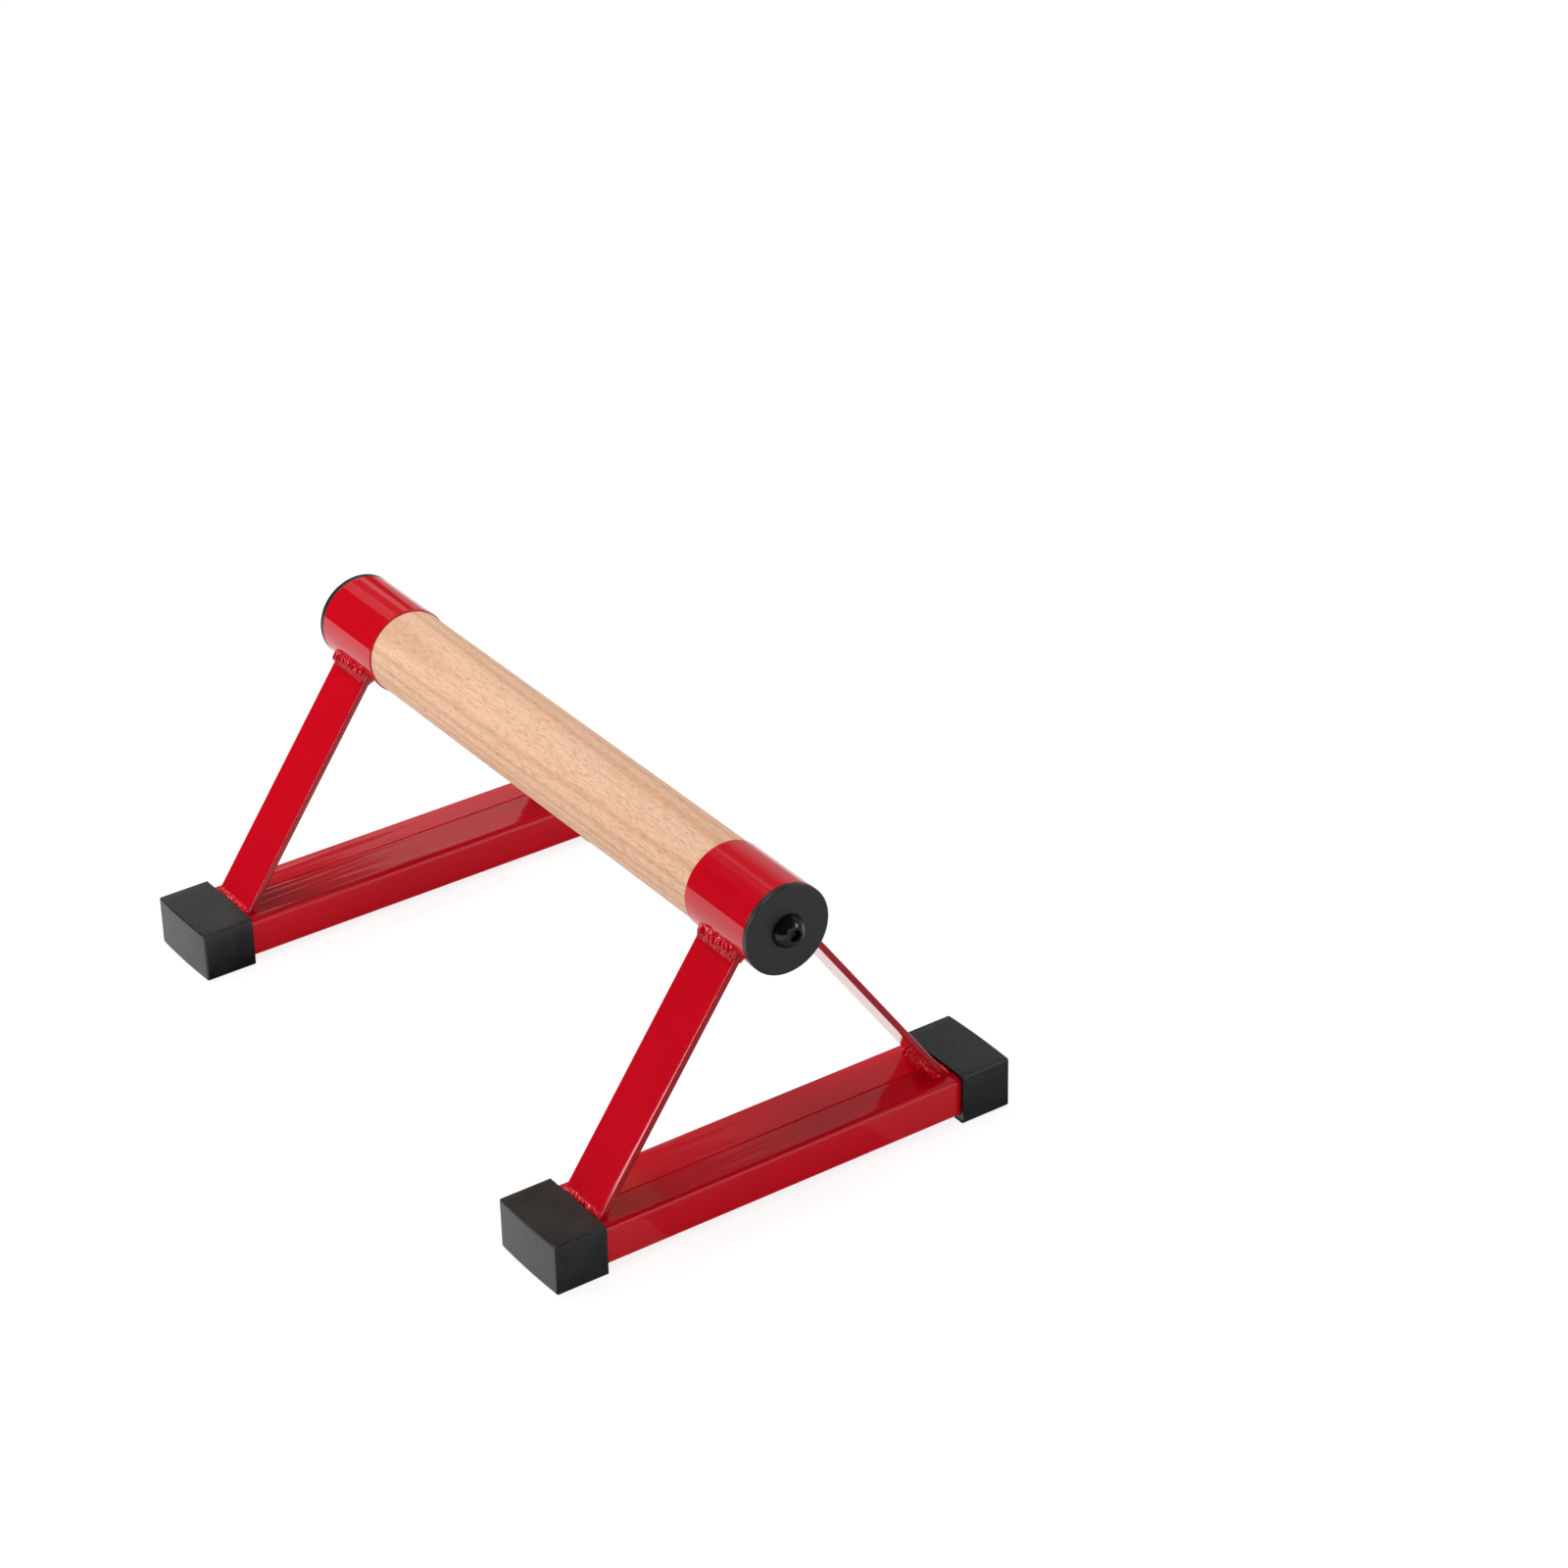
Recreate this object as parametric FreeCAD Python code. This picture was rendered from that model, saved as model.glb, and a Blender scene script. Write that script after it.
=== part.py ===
"""Parallette bar: a shouldered beech grip clamped between two welded steel end frames.

Lengths are millimetres. X runs along the grip, Y along the base tubes and Z up from the floor.
The origin is on the floor, midway between the four feet. Left is -X and front is -Y.
"""
import FreeCAD
import Part

import math
import os

Vector = FreeCAD.Vector
X_AXIS = Vector(1, 0, 0)
Y_AXIS = Vector(0, 1, 0)
Z_AXIS = Vector(0, 0, 1)

# Grip: a beech dowel with a tenon turned on each end
GRIP_LENGTH = 264.5
GRIP_DIAMETER = 41.0
GRIP_HEIGHT = 138.5
SHOULDER_CHAMFER = 0.5
TENON_CLEARANCE = 0.1
TENON_SETBACK = 1.0

# Sockets: short lengths of round steel tube that take the tenons
SOCKET_DIAMETER = 42.4
SOCKET_WALL = 2.6
SOCKET_LENGTH = 43.5
SOCKET_EDGE_CHAMFER = 0.4

# Base tubes: rectangular steel tube lying flat
TUBE_LENGTH = 236.0
TUBE_WIDTH = 40.0
TUBE_HEIGHT = 20.0
TUBE_WALL = 1.5
TUBE_CORNER_RADIUS = 2.5

# Foot caps: rubber boots pushed over the tube ends
CAP_WALL = 2.4
CAP_CLEARANCE = 0.1
CAP_GRIP = 23.3
CAP_END_WALL = 2.5
CAP_EDGE_RADIUS = 1.0
CAP_END_CHAMFER = 0.9
CAP_CROWN = 0.6

# Legs: flat bar, coped under the socket and mitred on the base tube
LEG_WIDTH = 28.5
LEG_THICKNESS = 3.0
LEG_EDGE_RADIUS = 0.6
LEG_OFFSET = 8.8
LEG_FIT_UP = 0.05

# Weld beads: a convex bead in each corner of a leg, rippled along its length
FOOT_WELD_ROOM = 1.6
FOOT_WELD_TO_CAP = 0.3
FOOT_OUTER_WELD = 3.2
FOOT_INNER_WELD = 3.4
SOCKET_OUTER_WELD = 4.6
SOCKET_INNER_WELD = 3.4
WELD_CONVEXITY = 0.15
WELD_RIPPLES = 4
WELD_RIPPLE_DIP = 0.1
WELD_END_TAPER = 0.3
WELD_GAP = 0.03

# End discs: plastic covers of the socket's diameter, clamped by the bolts
DISC_THICKNESS = 3.0
DISC_EDGE_CHAMFER = 0.5
DISC_HOLE_CLEARANCE = 0.3

# Clamp bolts: M8 with a tall domed head and a hexagon socket
BOLT_DIAMETER = 8.0
BOLT_LENGTH = 20.0
BOLT_HEAD_DIAMETER = 16.0
BOLT_HEAD_HEIGHT = 5.6
BOLT_CROWN_DIAMETER = 8.0
BOLT_DOME_STEPS = 2
HEX_ACROSS_FLATS = 5.0
HEX_DEPTH = 3.0

# Threaded inserts: steel sleeves set flush in the tenon ends
INSERT_DIAMETER = 12.0
INSERT_LENGTH = 18.0
INSERT_SEAT_CLEARANCE = 0.05
THREAD_CLEARANCE = 0.05

# Places worked out from the sizes above
LEFT, RIGHT = -1, 1
FRONT, REAR = -1, 1
END_NAMES = {LEFT: "left", RIGHT: "right"}
SIDE_NAMES = {FRONT: "front", REAR: "rear"}
FRAME_X = (GRIP_LENGTH + SOCKET_LENGTH) / 2
SOCKET_RADIUS = SOCKET_DIAMETER / 2
SOCKET_BORE_RADIUS = SOCKET_RADIUS - SOCKET_WALL
SOCKET_OUTER_X = GRIP_LENGTH / 2 + SOCKET_LENGTH
TENON_RADIUS = SOCKET_BORE_RADIUS - TENON_CLEARANCE
TENON_END_X = SOCKET_OUTER_X - TENON_SETBACK
DISC_OUTER_X = SOCKET_OUTER_X + DISC_THICKNESS
CAP_SKIN = CAP_WALL + CAP_CLEARANCE
TUBE_BOTTOM = CAP_SKIN
TUBE_TOP = TUBE_BOTTOM + TUBE_HEIGHT
CAP_MOUTH = TUBE_LENGTH / 2 - CAP_GRIP
LEG_FOOT = CAP_MOUTH - FOOT_WELD_ROOM
LEG_RISE = GRIP_HEIGHT - TUBE_TOP
LEG_ANGLE = math.atan2(LEG_RISE, LEG_FOOT) + math.asin(LEG_OFFSET / math.hypot(LEG_FOOT, LEG_RISE))
LEG_UP = (-math.cos(LEG_ANGLE), math.sin(LEG_ANGLE))
LEG_OUTWARD = (math.sin(LEG_ANGLE), math.cos(LEG_ANGLE))
LEG_FOOT_INNER = LEG_FOOT - LEG_THICKNESS / math.sin(LEG_ANGLE)


def along(point, direction, distance):
    """The point that lies a distance from another, in a frame's (outward, height) plane."""
    return (point[0] + direction[0] * distance, point[1] + direction[1] * distance)


def in_frame(x, side, point):
    """The model point at x for an (outward, height) point on the front or rear side."""
    return Vector(x, side * point[0], point[1])


def rod(radius, start_x, end_x, height=GRIP_HEIGHT):
    """A solid cylinder along X, centred on the grip's axis unless a height is given."""
    return Part.makeCylinder(radius, end_x - start_x, Vector(start_x, 0, height), X_AXIS)


def turned(profile, height=GRIP_HEIGHT):
    """A solid of revolution about the grip's axis from closed (x, radius) points."""
    points = [Vector(x, 0, height + radius) for x, radius in profile]
    face = Part.Face(Part.makePolygon(points + points[:1]))
    return face.revolve(Vector(0, 0, height), X_AXIS, 360)


def rounded_bar(width, height, radius, bottom, start_y, end_y):
    """A bar along Y with rounded corners, standing with its underside at a height."""
    bar = Part.makeBox(width, end_y - start_y, height, Vector(-width / 2, start_y, bottom))
    return bar.makeFillet(radius, edges_along(bar, Y_AXIS))


def edges_along(shape, direction):
    """The straight edges of a shape that run along a direction."""
    found = []
    for edge in shape.Edges:
        if isinstance(edge.Curve, Part.Line) and edge.Curve.Direction.cross(direction).Length < 1e-6:
            found.append(edge)
    return found


def edges_near_x(shape, x):
    """The round edges of a turned solid that lie at one x."""
    return [edge for edge in shape.Edges if abs(edge.BoundBox.XMin - x) + abs(edge.BoundBox.XMax - x) < 1e-6]


def make_grip():
    """The beech grip with its shoulders, tenons and insert seats."""
    half = GRIP_LENGTH / 2
    radius = GRIP_DIAMETER / 2
    profile = [
        (-TENON_END_X, 0),
        (-TENON_END_X, TENON_RADIUS),
        (-half, TENON_RADIUS),
        (-half, radius - SHOULDER_CHAMFER),
        (SHOULDER_CHAMFER - half, radius),
        (half - SHOULDER_CHAMFER, radius),
        (half, radius - SHOULDER_CHAMFER),
        (half, TENON_RADIUS),
        (TENON_END_X, TENON_RADIUS),
        (TENON_END_X, 0),
    ]
    grip = turned(profile)
    seat_radius = INSERT_DIAMETER / 2 + INSERT_SEAT_CLEARANCE
    seat_end = TENON_END_X - INSERT_LENGTH
    for start, end in ((-TENON_END_X, -seat_end), (seat_end, TENON_END_X)):
        grip = grip.cut(rod(seat_radius, start, end))
    return grip


def make_socket(end):
    """One socket tube with eased ends."""
    inner, outer = sorted((end * GRIP_LENGTH / 2, end * SOCKET_OUTER_X))
    tube = rod(SOCKET_RADIUS, inner, outer)
    tube = tube.makeChamfer(SOCKET_EDGE_CHAMFER, edges_near_x(tube, inner) + edges_near_x(tube, outer))
    return tube.cut(rod(SOCKET_BORE_RADIUS, inner, outer))


def make_base_tube(end):
    """One hollow base tube, lying between its two foot caps."""
    half = TUBE_LENGTH / 2
    bore_radius = TUBE_CORNER_RADIUS - TUBE_WALL
    bore_width = TUBE_WIDTH - 2 * TUBE_WALL
    bore_height = TUBE_HEIGHT - 2 * TUBE_WALL
    outside = rounded_bar(TUBE_WIDTH, TUBE_HEIGHT, TUBE_CORNER_RADIUS, TUBE_BOTTOM, -half, half)
    bore = rounded_bar(bore_width, bore_height, bore_radius, TUBE_BOTTOM + TUBE_WALL, -half, half)
    tube = outside.cut(bore)
    tube.translate(Vector(end * FRAME_X, 0, 0))
    return tube


def make_foot_cap(end, side):
    """One rubber cap: a boot over the tube's end, cut to its plan and side view, with a crowned end."""
    width = TUBE_WIDTH + 2 * CAP_SKIN
    height = TUBE_HEIGHT + 2 * CAP_SKIN
    half = width / 2
    ease = CAP_END_CHAMFER
    tube_end = TUBE_LENGTH / 2
    edge_y = tube_end + CAP_END_WALL
    crown_y = edge_y + CAP_CROWN
    plan_points = [
        Vector(ease - half, edge_y, 0),
        Vector(-half, edge_y - ease, 0),
        Vector(-half, CAP_MOUTH, 0),
        Vector(half, CAP_MOUTH, 0),
        Vector(half, edge_y - ease, 0),
        Vector(half - ease, edge_y, 0),
    ]
    crown = Part.Arc(plan_points[-1], Vector(0, crown_y, 0), plan_points[0]).toShape()
    plan = Part.Face(Part.Wire(Part.makePolygon(plan_points).Edges + [crown]))
    view_points = [
        Vector(-half, CAP_MOUTH, 0),
        Vector(-half, crown_y - ease, 0),
        Vector(-half, crown_y, ease),
        Vector(-half, crown_y, height - ease),
        Vector(-half, crown_y - ease, height),
        Vector(-half, CAP_MOUTH, height),
    ]
    view = Part.Face(Part.makePolygon(view_points + view_points[:1]))
    body = rounded_bar(width, height, CAP_EDGE_RADIUS, 0, CAP_MOUTH, crown_y)
    body = body.common(plan.extrude(Z_AXIS * height)).common(view.extrude(X_AXIS * width))
    cavity = rounded_bar(
        TUBE_WIDTH + 2 * CAP_CLEARANCE,
        TUBE_HEIGHT + 2 * CAP_CLEARANCE,
        TUBE_CORNER_RADIUS,
        CAP_WALL,
        CAP_MOUTH - CAP_GRIP,
        tube_end,
    )
    cap = body.cut(cavity)
    if side == FRONT:
        cap = cap.mirror(Vector(0, 0, 0), Y_AXIS)
    cap.translate(Vector(end * FRAME_X, 0, 0))
    return cap


def make_leg(end, side):
    """One flat-bar leg, mitred to the base tube's top and coped to the socket's underside."""
    axis = (0, GRIP_HEIGHT)
    outer_top = along(axis, LEG_OUTWARD, LEG_OFFSET)
    inner_top = along(outer_top, LEG_OUTWARD, -LEG_THICKNESS)
    outline = [(LEG_FOOT, TUBE_TOP), outer_top, inner_top, (LEG_FOOT_INNER, TUBE_TOP)]
    start_x = end * FRAME_X - LEG_WIDTH / 2
    points = [in_frame(start_x, side, point) for point in outline]
    leg = Part.Face(Part.makePolygon(points + points[:1])).extrude(X_AXIS * LEG_WIDTH)
    leg_direction = in_frame(0, side, LEG_UP)
    leg = leg.makeFillet(LEG_EDGE_RADIUS, edges_along(leg, leg_direction))
    return leg.cut(rod(SOCKET_RADIUS + LEG_FIT_UP, start_x - LEG_WIDTH, start_x + 2 * LEG_WIDTH))


def behind_leg_face(end, side, foot, outward):
    """The space on a leg face's far side, taken out of the bead that lies against that face."""
    reach = 2 * LEG_RISE
    depth = 4 * SOCKET_DIAMETER
    start = along((foot, TUBE_TOP), outward, WELD_GAP)
    low = along(start, LEG_UP, -reach)
    high = along(start, LEG_UP, reach)
    outline = [low, high, along(high, outward, -depth), along(low, outward, -depth)]
    points = [in_frame((end * FRAME_X) - LEG_WIDTH, side, point) for point in outline]
    return Part.Face(Part.makePolygon(points + points[:1])).extrude(X_AXIS * 2 * LEG_WIDTH)


def skinned(sections):
    """A solid with a flat face between each two neighbouring points of each two neighbouring sections."""
    outlines = [sections[0], sections[-1]]
    for near, far in zip(sections, sections[1:]):
        for index, point in enumerate(near):
            outlines.append([near[index - 1], point, far[index], far[index - 1]])
    faces = [Part.Face(Part.makePolygon(outline + outline[:1])) for outline in outlines]
    return Part.makeSolid(Part.makeShell(faces))


def make_bead(end, side, corner, leg_point, far_point):
    """A rippled bead across a leg's width, from its corner to a point on each of the two faces.

    Each cross-section is the same convex outline, drawn larger or smaller about the corner.
    """
    chord = (far_point[0] - leg_point[0], far_point[1] - leg_point[1])
    out = (leg_point[0] + far_point[0] - 2 * corner[0], leg_point[1] + far_point[1] - 2 * corner[1])
    turn = math.copysign(WELD_CONVEXITY, chord[0] * out[1] - chord[1] * out[0])
    bulge = (-chord[1] * turn, chord[0] * turn)
    crest = along(along(leg_point, chord, 1 / 2), bulge, 1)
    outline = [corner, leg_point, crest, far_point]
    length = LEG_WIDTH - 2 * LEG_EDGE_RADIUS
    start_x = end * FRAME_X - length / 2
    steps = 2 * WELD_RIPPLES
    sections = []
    for step in range(steps + 1):
        shrink = WELD_END_TAPER if step in (0, steps) else WELD_RIPPLE_DIP * (step % 2)
        x = start_x + length * step / steps
        ring = []
        for point in outline:
            to_corner = (corner[0] - point[0], corner[1] - point[1])
            ring.append(in_frame(x, side, along(point, to_corner, shrink)))
        sections.append(ring)
    return skinned(sections)


def make_foot_weld(end, side):
    """The outer and inner beads that join a leg to the base tube."""
    inward = (-LEG_OUTWARD[0], -LEG_OUTWARD[1])
    ground = Part.makeBox(2 * LEG_WIDTH, TUBE_LENGTH, TUBE_TOP + WELD_GAP)
    ground.translate(Vector(end * FRAME_X - LEG_WIDTH, -TUBE_LENGTH / 2, 0))
    corners = (
        (LEG_FOOT, LEG_OUTWARD, FOOT_OUTER_WELD, FOOT_WELD_ROOM - FOOT_WELD_TO_CAP),
        (LEG_FOOT_INNER, inward, FOOT_INNER_WELD, -FOOT_INNER_WELD),
    )
    beads = []
    for foot, outward, rise, spread in corners:
        corner = (foot, TUBE_TOP)
        bead = make_bead(end, side, corner, along(corner, LEG_UP, rise), (foot + spread, TUBE_TOP))
        beads.append(bead.cut(behind_leg_face(end, side, foot, outward)).cut(ground))
    return Part.makeCompound([solid for bead in beads for solid in bead.Solids])


def make_socket_weld(end, side):
    """The outer and inner beads that join a leg to its socket."""
    inward = (-LEG_OUTWARD[0], -LEG_OUTWARD[1])
    middle_x = end * FRAME_X
    socket = rod(SOCKET_RADIUS + WELD_GAP, middle_x - LEG_WIDTH, middle_x + LEG_WIDTH)
    faces = (
        (LEG_FOOT, LEG_OUTWARD, LEG_OFFSET, SOCKET_OUTER_WELD, 1),
        (LEG_FOOT_INNER, inward, LEG_OFFSET - LEG_THICKNESS, SOCKET_INNER_WELD, -1),
    )
    beads = []
    for foot, outward, offset, size, turn in faces:
        nearest = along((0, GRIP_HEIGHT), LEG_OUTWARD, offset)
        corner = along(nearest, LEG_UP, -math.sqrt(SOCKET_RADIUS ** 2 - offset ** 2))
        angle = math.atan2(corner[1] - GRIP_HEIGHT, corner[0]) + turn * size / SOCKET_RADIUS
        on_socket = along((0, GRIP_HEIGHT), (math.cos(angle), math.sin(angle)), SOCKET_RADIUS)
        bead = make_bead(end, side, corner, along(corner, LEG_UP, -size), on_socket)
        beads.append(bead.cut(behind_leg_face(end, side, foot, outward)).cut(socket))
    return Part.makeCompound([solid for bead in beads for solid in bead.Solids])


def make_end_disc(end):
    """One end cover with a clearance hole for its bolt."""
    inner, outer = sorted((end * SOCKET_OUTER_X, end * DISC_OUTER_X))
    disc = rod(SOCKET_RADIUS, inner, outer)
    disc = disc.makeChamfer(DISC_EDGE_CHAMFER, edges_near_x(disc, end * DISC_OUTER_X))
    return disc.cut(rod(BOLT_DIAMETER / 2 + DISC_HOLE_CLEARANCE, inner, outer))


def dome(base_x, base, top_x, crown):
    """The (x, radius) points up a round head, from its base to just before the edge of its crown."""
    rise = top_x - base_x
    sink = (base ** 2 - crown ** 2 - rise ** 2) / (2 * rise)
    sphere = math.hypot(base, sink)
    low, high = math.atan2(sink, base), math.atan2(sink + rise, crown)
    points = []
    for step in range(BOLT_DOME_STEPS):
        angle = low + (high - low) * step / BOLT_DOME_STEPS
        points.append((base_x - sink + sphere * math.sin(angle), sphere * math.cos(angle)))
    return points


def make_bolt(end):
    """One dome-head bolt, with its hexagon socket facing outwards."""
    shank = BOLT_DIAMETER / 2
    crown = BOLT_CROWN_DIAMETER / 2
    seat_x = DISC_OUTER_X
    top_x = seat_x + BOLT_HEAD_HEIGHT
    tip_x = seat_x - BOLT_LENGTH
    head = dome(seat_x, BOLT_HEAD_DIAMETER / 2, top_x, crown) + [(top_x, crown), (top_x, 0)]
    bolt = turned([(tip_x, 0), (tip_x, shank), (seat_x, shank)] + head)
    corner_radius = HEX_ACROSS_FLATS / math.sqrt(3)
    hexagon = []
    for step in range(6):
        angle = math.radians(60 * step)
        y = corner_radius * math.cos(angle)
        z = GRIP_HEIGHT + corner_radius * math.sin(angle)
        hexagon.append(Vector(top_x - HEX_DEPTH, y, z))
    key = Part.Face(Part.makePolygon(hexagon + hexagon[:1])).extrude(X_AXIS * BOLT_HEAD_HEIGHT)
    bolt = bolt.cut(key)
    if end == LEFT:
        bolt = bolt.mirror(Vector(0, 0, 0), X_AXIS)
    return bolt


def make_insert(end):
    """One threaded sleeve, flush with the tenon's end."""
    outer = INSERT_DIAMETER / 2
    bore = BOLT_DIAMETER / 2 + THREAD_CLEARANCE
    deep_x = TENON_END_X - INSERT_LENGTH
    profile = [(deep_x, bore), (deep_x, outer), (TENON_END_X, outer), (TENON_END_X, bore)]
    return turned([(end * x, radius) for x, radius in profile])


def make_parts():
    """Every piece of the bar, by node name."""
    parts = {"grip_dowel": make_grip()}
    for end, end_name in END_NAMES.items():
        parts[f"{end_name}_socket"] = make_socket(end)
        parts[f"{end_name}_base_tube"] = make_base_tube(end)
        parts[f"{end_name}_end_disc"] = make_end_disc(end)
        parts[f"{end_name}_clamp_bolt"] = make_bolt(end)
        parts[f"{end_name}_threaded_insert"] = make_insert(end)
        for side, side_name in SIDE_NAMES.items():
            place = f"{end_name}_{side_name}"
            parts[f"{place}_leg"] = make_leg(end, side)
            parts[f"{place}_foot_cap"] = make_foot_cap(end, side)
            parts[f"{place}_foot_weld"] = make_foot_weld(end, side)
            parts[f"{place}_socket_weld"] = make_socket_weld(end, side)
    return parts


def main():
    """Write one STEP file for each piece."""
    os.makedirs("parts", exist_ok=True)
    for name, shape in make_parts().items():
        shape.exportStep(f"parts/{name}.step")


main()
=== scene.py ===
"""Looks of a parallette bar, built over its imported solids.

Lengths in the bar's classes are millimetres, as a maker would write them, and meshes are made in metres.
X runs along the grip, Y along the base tubes and Z up from the floor. Left is -X and front is -Y.
"""
import functools
import logging
import math
from dataclasses import dataclass, field
from enum import Enum
from typing import Any, Callable, Optional, Protocol, Sequence

import bmesh
import bpy
from mathutils import Matrix, Vector, noise

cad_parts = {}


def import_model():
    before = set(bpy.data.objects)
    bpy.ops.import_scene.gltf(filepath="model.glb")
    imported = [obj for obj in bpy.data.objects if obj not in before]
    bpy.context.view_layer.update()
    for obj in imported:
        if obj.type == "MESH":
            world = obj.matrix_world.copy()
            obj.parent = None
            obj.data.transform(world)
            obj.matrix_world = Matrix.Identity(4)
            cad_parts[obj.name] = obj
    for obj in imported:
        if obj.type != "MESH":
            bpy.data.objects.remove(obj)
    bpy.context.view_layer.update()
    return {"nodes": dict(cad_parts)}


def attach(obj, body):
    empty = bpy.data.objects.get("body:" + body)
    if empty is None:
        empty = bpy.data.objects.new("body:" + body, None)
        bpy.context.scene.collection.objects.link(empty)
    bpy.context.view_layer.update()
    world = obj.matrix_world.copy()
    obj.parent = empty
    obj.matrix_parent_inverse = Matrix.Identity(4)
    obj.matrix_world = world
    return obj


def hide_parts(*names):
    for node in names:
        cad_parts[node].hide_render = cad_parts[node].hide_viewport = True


LOG = logging.getLogger("parallette")
MM = 0.001
# The mesh attribute that holds how strongly shade is painted into the enamel's colour
PAINTED_SHADE = "coat"
# Sizes that several sub-assemblies go by
AXIS_HEIGHT = 138.5
FRAME_X = 154.0
SOCKET_DIAMETER = 42.4
# An extra row of points this far from a rounding, in mm, keeps the light on a plain run true
MARGIN = 1.0
# Lengths in mm that differ by less than this are taken as the same
TOUCH = 1e-6

Pair = tuple[float, float]
Triple = tuple[float, float, float]
Ring = list[Vector]
Socket = bpy.types.NodeSocket


class Place(Enum):
    """A place on the bar, by its sign along an axis."""

    @property
    def label(self) -> str:
        """The place's name in the node names."""
        return self.name.lower()


class End(Place):
    """An end of the grip, by its sign along X."""

    LEFT = -1
    RIGHT = 1


class Side(Place):
    """A side of an end frame, by its sign along Y."""

    FRONT = -1
    REAR = 1


class Steel(Enum):
    """What the enamel lies on, by the waves that the steel gives it."""

    ROUND_TUBE = (0.006, 8.0, 1.0)
    FLAT_BAR = (0.012, 8.0, 1.0)
    # Draw marks, made higher than real ones so that they show as streaks in the gloss
    BOX_TUBE = (0.11, 3.6, 14.0)
    WELD_BEAD = (0.030, 5.0, 1.0)

    def __init__(self, wave_height_mm: float, wave_mm: float, stretch: float) -> None:
        """Keep the sizes of the waves.

        Args:
            wave_height_mm: Their height.
            wave_mm: Their width.
            stretch: How much longer than wide they are, along the base tubes.
        """
        self.wave_height_mm = wave_height_mm
        self.wave_mm = wave_mm
        self.stretch = stretch


def linear(hex_colour: str) -> tuple[float, float, float, float]:
    """Turn an sRGB hex colour into linear light.

    Args:
        hex_colour: Six hex digits.

    Returns:
        Red, green, blue and an alpha of 1.
    """
    values = []
    for start in (0, 2, 4):
        value = int(hex_colour[start:start + 2], 16) / 255
        values.append(value / 12.92 if value <= 0.04045 else ((value + 0.055) / 1.055) ** 2.4)
    return values[0], values[1], values[2], 1.0


def per_metre(millimetres: float) -> float:
    """The texture scale at which one feature of a pattern has a size in millimetres."""
    return 1000 / millimetres


def add_node(
    tree: bpy.types.NodeTree, kind: str, inputs: Optional[dict] = None, **settings: Any,
) -> bpy.types.Node:
    """Add a node with its settings and links.

    Args:
        tree: The node tree.
        kind: The node's type name.
        inputs: Values or output sockets, by the input's name or number.
        settings: Properties of the node.

    Returns:
        The new node.
    """
    node = tree.nodes.new(kind)
    for key, value in settings.items():
        setattr(node, key, value)
    for key, value in (inputs or {}).items():
        if isinstance(value, Socket):
            tree.links.new(value, node.inputs[key])
        else:
            node.inputs[key].default_value = value
    return node


def new_tree(name: str) -> tuple[bpy.types.Material, bpy.types.NodeTree]:
    """Make an empty node material.

    Args:
        name: The material's name.

    Returns:
        The material and its node tree.
    """
    material = bpy.data.materials.new(name)
    material.use_nodes = True
    material.node_tree.nodes.clear()
    return material, material.node_tree


class Finish(Protocol):
    """A surface finish: the name of the slot that it belongs to, and a way to make its material."""

    slot: str

    def material(self) -> bpy.types.Material:
        """The finish's material, made once."""


@dataclass(frozen=True)
class GlossEnamel:
    """Stove-baked gloss enamel, sprayed on mild steel.

    Its roughness runs from its clear to its hazy spots.
    """

    ground: Steel
    slot: str = "red_paint"
    colour: str = "D4081F"
    thick: str = "B00519"
    ior: float = 1.5
    roughness: Pair = (0.06, 0.08)
    patchiness: float = 0.25
    peel_mm: float = 2.4
    peel_height_mm: float = 0.0016
    cloud_mm: float = 26.0

    @functools.cache
    def material(self) -> bpy.types.Material:
        """Make the enamel.

        The eye sees a deep even red, a mirror-like skin with faint orange peel, and reflections that
        wander where the steel beneath isn't flat. Thicker paint and painted shade darken it a little.

        Returns:
            The material.
        """
        material, tree = new_tree(f"gloss_red_enamel_on_{self.ground.name.lower()}")
        place = add_node(tree, "ShaderNodeTexCoord").outputs["Object"]
        cloud = add_node(tree, "ShaderNodeTexNoise", {
            "Vector": place, "Scale": per_metre(self.cloud_mm), "Detail": 3.0, "Roughness": 0.55})
        # A mesh without the painted-shade attribute reads as 0: no shade is painted there
        coat = add_node(tree, "ShaderNodeAttribute", attribute_name=PAINTED_SHADE)
        # The thick tone mixes in with the paint's random thick patches and with the painted shade
        depth = add_node(tree, "ShaderNodeMath", {
            0: cloud.outputs["Fac"], 1: self.patchiness, 2: coat.outputs["Fac"]}, operation="MULTIPLY_ADD")
        colour = add_node(tree, "ShaderNodeMix", {
            0: depth.outputs["Value"], 6: linear(self.colour), 7: linear(self.thick)}, data_type="RGBA")
        rough = add_node(tree, "ShaderNodeMapRange", {
            "Value": cloud.outputs["Fac"], "To Min": self.roughness[0], "To Max": self.roughness[1]})
        drawn = add_node(tree, "ShaderNodeMapping", {
            "Vector": place, "Scale": (1.0, 1 / self.ground.stretch, 1.0)})
        wave = add_node(tree, "ShaderNodeTexNoise", {
            "Vector": drawn.outputs["Vector"], "Scale": per_metre(self.ground.wave_mm), "Detail": 1.0})
        slow = add_node(tree, "ShaderNodeBump", {
            "Height": wave.outputs["Fac"], "Strength": 1.0, "Distance": self.ground.wave_height_mm * MM})
        peel = add_node(tree, "ShaderNodeTexNoise", {
            "Vector": place, "Scale": per_metre(self.peel_mm), "Detail": 1.0})
        skin = add_node(tree, "ShaderNodeBump", {
            "Height": peel.outputs["Fac"], "Strength": 1.0, "Distance": self.peel_height_mm * MM,
            "Normal": slow.outputs["Normal"]})
        paint = add_node(tree, "ShaderNodeBsdfPrincipled", {
            "Base Color": colour.outputs[2], "Roughness": rough.outputs["Result"], "IOR": self.ior,
            "Normal": skin.outputs["Normal"]})
        add_node(tree, "ShaderNodeOutputMaterial", {"Surface": paint.outputs["BSDF"]})
        return material


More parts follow.
